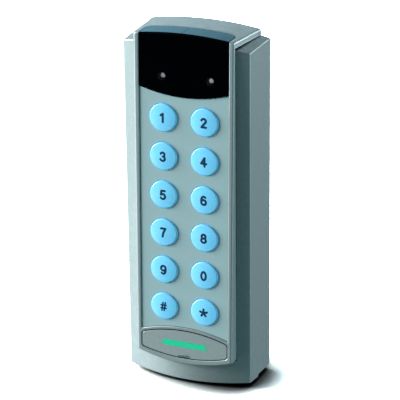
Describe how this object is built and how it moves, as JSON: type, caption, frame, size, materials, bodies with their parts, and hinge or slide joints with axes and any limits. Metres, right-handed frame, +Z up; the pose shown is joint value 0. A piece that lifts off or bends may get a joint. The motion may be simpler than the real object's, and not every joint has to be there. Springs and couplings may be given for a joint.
{
  "type": "keypad card reader",
  "caption": "Wall-mounted access reader: bowed housing, raised centre cover with smoked window over the top, round backlit keys and a pry-off flap over the fixing screw.",
  "frame": {"origin": "on the wall plane at the back plate's centre line, level with the middle of the keypad", "axes": "+Z up, the front looks towards -Y, +X to the right as seen from the front"},
  "size_m": [0.0562, 0.0271, 0.1528],
  "materials": {
    "shell": "satin, finely speckled",
    "flap_shell": "satin, finely speckled",
    "seal_rubber": "matte",
    "smoked_window": "polished, smoked",
    "panel": "fine matte grain",
    "key_plastic": "translucent, backlit",
    "silicone": "translucent matte",
    "contact_metal": "plated",
    "lamp_white": "gloss",
    "board_laminate": "satin solder resist",
    "screw_steel": "zinc plated",
    "black_plastic": "moulded matte",
    "lamp_clear": "clear",
    "badge_green": "printed",
    "coil_copper": "enamelled wire",
    "capacitor_sleeve": "shrink sleeve",
    "terminal_green": "moulded",
    "connector_cream": "moulded",
    "ribbon": "laminated film",
    "plunger_white": "moulded",
    "spring_steel": "drawn wire",
    "back_plate_grey": "moulded matte"
  },
  "bodies": {
    "reader": {"housing": "shell", "front_cover": "shell", "cover_seal": "seal_rubber", "reader_window": "smoked_window", "keypad_panel": "panel", "keypad_mat": "silicone", "key_contacts": "contact_metal", "backlight_leds": "lamp_white", "keypad_board": "board_laminate", "keypad_screws": "screw_steel", "led_shroud": "black_plastic", "status_led_left": "lamp_clear", "status_led_right": "lamp_clear", "security_screw": "screw_steel", "main_board": "board_laminate", "board_screws": "screw_steel", "antenna_bobbin": "black_plastic", "antenna_coil": "coil_copper", "chip_bodies": "black_plastic", "chip_leads": "contact_metal", "capacitors": "capacitor_sleeve", "buzzer": "black_plastic", "terminal_block": "terminal_green", "terminal_screws": "screw_steel", "keypad_connector": "connector_cream", "main_connector": "connector_cream", "ribbon_cable": "ribbon", "tamper_switch": "black_plastic", "tamper_spring": "spring_steel", "back_plate": "back_plate_grey"},
    "key_1": {"key_1": "key_plastic"},
    "key_2": {"key_2": "key_plastic"},
    "key_3": {"key_3": "key_plastic"},
    "key_4": {"key_4": "key_plastic"},
    "key_5": {"key_5": "key_plastic"},
    "key_6": {"key_6": "key_plastic"},
    "key_7": {"key_7": "key_plastic"},
    "key_8": {"key_8": "key_plastic"},
    "key_9": {"key_9": "key_plastic"},
    "key_0": {"key_0": "key_plastic"},
    "key_hash": {"key_hash": "key_plastic"},
    "key_star": {"key_star": "key_plastic"},
    "flap": {"service_flap": "flap_shell", "flap_badge": "badge_green"},
    "tamper_plunger": {"tamper_plunger": "plunger_white"}
  },
  "joints": [
    {"name": "key_1_press", "type": "slide", "parent": "reader", "child": "key_1", "axis": [0, 0.9997, -0.0262], "range_m": [0, 0.0008], "stiffness_N_per_m": 150, "springref_m": -0.003},
    {"name": "key_2_press", "type": "slide", "parent": "reader", "child": "key_2", "axis": [0, 0.9997, -0.0262], "range_m": [0, 0.0008], "stiffness_N_per_m": 150, "springref_m": -0.003},
    {"name": "key_3_press", "type": "slide", "parent": "reader", "child": "key_3", "axis": [0, 0.9997, -0.0262], "range_m": [0, 0.0008], "stiffness_N_per_m": 150, "springref_m": -0.003},
    {"name": "key_4_press", "type": "slide", "parent": "reader", "child": "key_4", "axis": [0, 0.9997, -0.0262], "range_m": [0, 0.0008], "stiffness_N_per_m": 150, "springref_m": -0.003},
    {"name": "key_5_press", "type": "slide", "parent": "reader", "child": "key_5", "axis": [0, 0.9997, -0.0262], "range_m": [0, 0.0008], "stiffness_N_per_m": 150, "springref_m": -0.003},
    {"name": "key_6_press", "type": "slide", "parent": "reader", "child": "key_6", "axis": [0, 0.9997, -0.0262], "range_m": [0, 0.0008], "stiffness_N_per_m": 150, "springref_m": -0.003},
    {"name": "key_7_press", "type": "slide", "parent": "reader", "child": "key_7", "axis": [0, 0.9997, -0.0262], "range_m": [0, 0.0008], "stiffness_N_per_m": 150, "springref_m": -0.003},
    {"name": "key_8_press", "type": "slide", "parent": "reader", "child": "key_8", "axis": [0, 0.9997, -0.0262], "range_m": [0, 0.0008], "stiffness_N_per_m": 150, "springref_m": -0.003},
    {"name": "key_9_press", "type": "slide", "parent": "reader", "child": "key_9", "axis": [0, 0.9997, -0.0262], "range_m": [0, 0.0008], "stiffness_N_per_m": 150, "springref_m": -0.003},
    {"name": "key_0_press", "type": "slide", "parent": "reader", "child": "key_0", "axis": [0, 0.9997, -0.0262], "range_m": [0, 0.0008], "stiffness_N_per_m": 150, "springref_m": -0.003},
    {"name": "key_hash_press", "type": "slide", "parent": "reader", "child": "key_hash", "axis": [0, 0.9997, -0.0262], "range_m": [0, 0.0008], "stiffness_N_per_m": 150, "springref_m": -0.003},
    {"name": "key_star_press", "type": "slide", "parent": "reader", "child": "key_star", "axis": [0, 0.9997, -0.0262], "range_m": [0, 0.0008], "stiffness_N_per_m": 150, "springref_m": -0.003},
    {"name": "flap_pull", "type": "slide", "parent": "reader", "child": "flap", "axis": [0, -0.9997, 0.0262], "range_m": [0, 0.015]},
    {"name": "tamper_travel", "type": "slide", "parent": "reader", "child": "tamper_plunger", "axis": [0, 1, 0], "range_m": [0, 0.0012]}
  ]
}
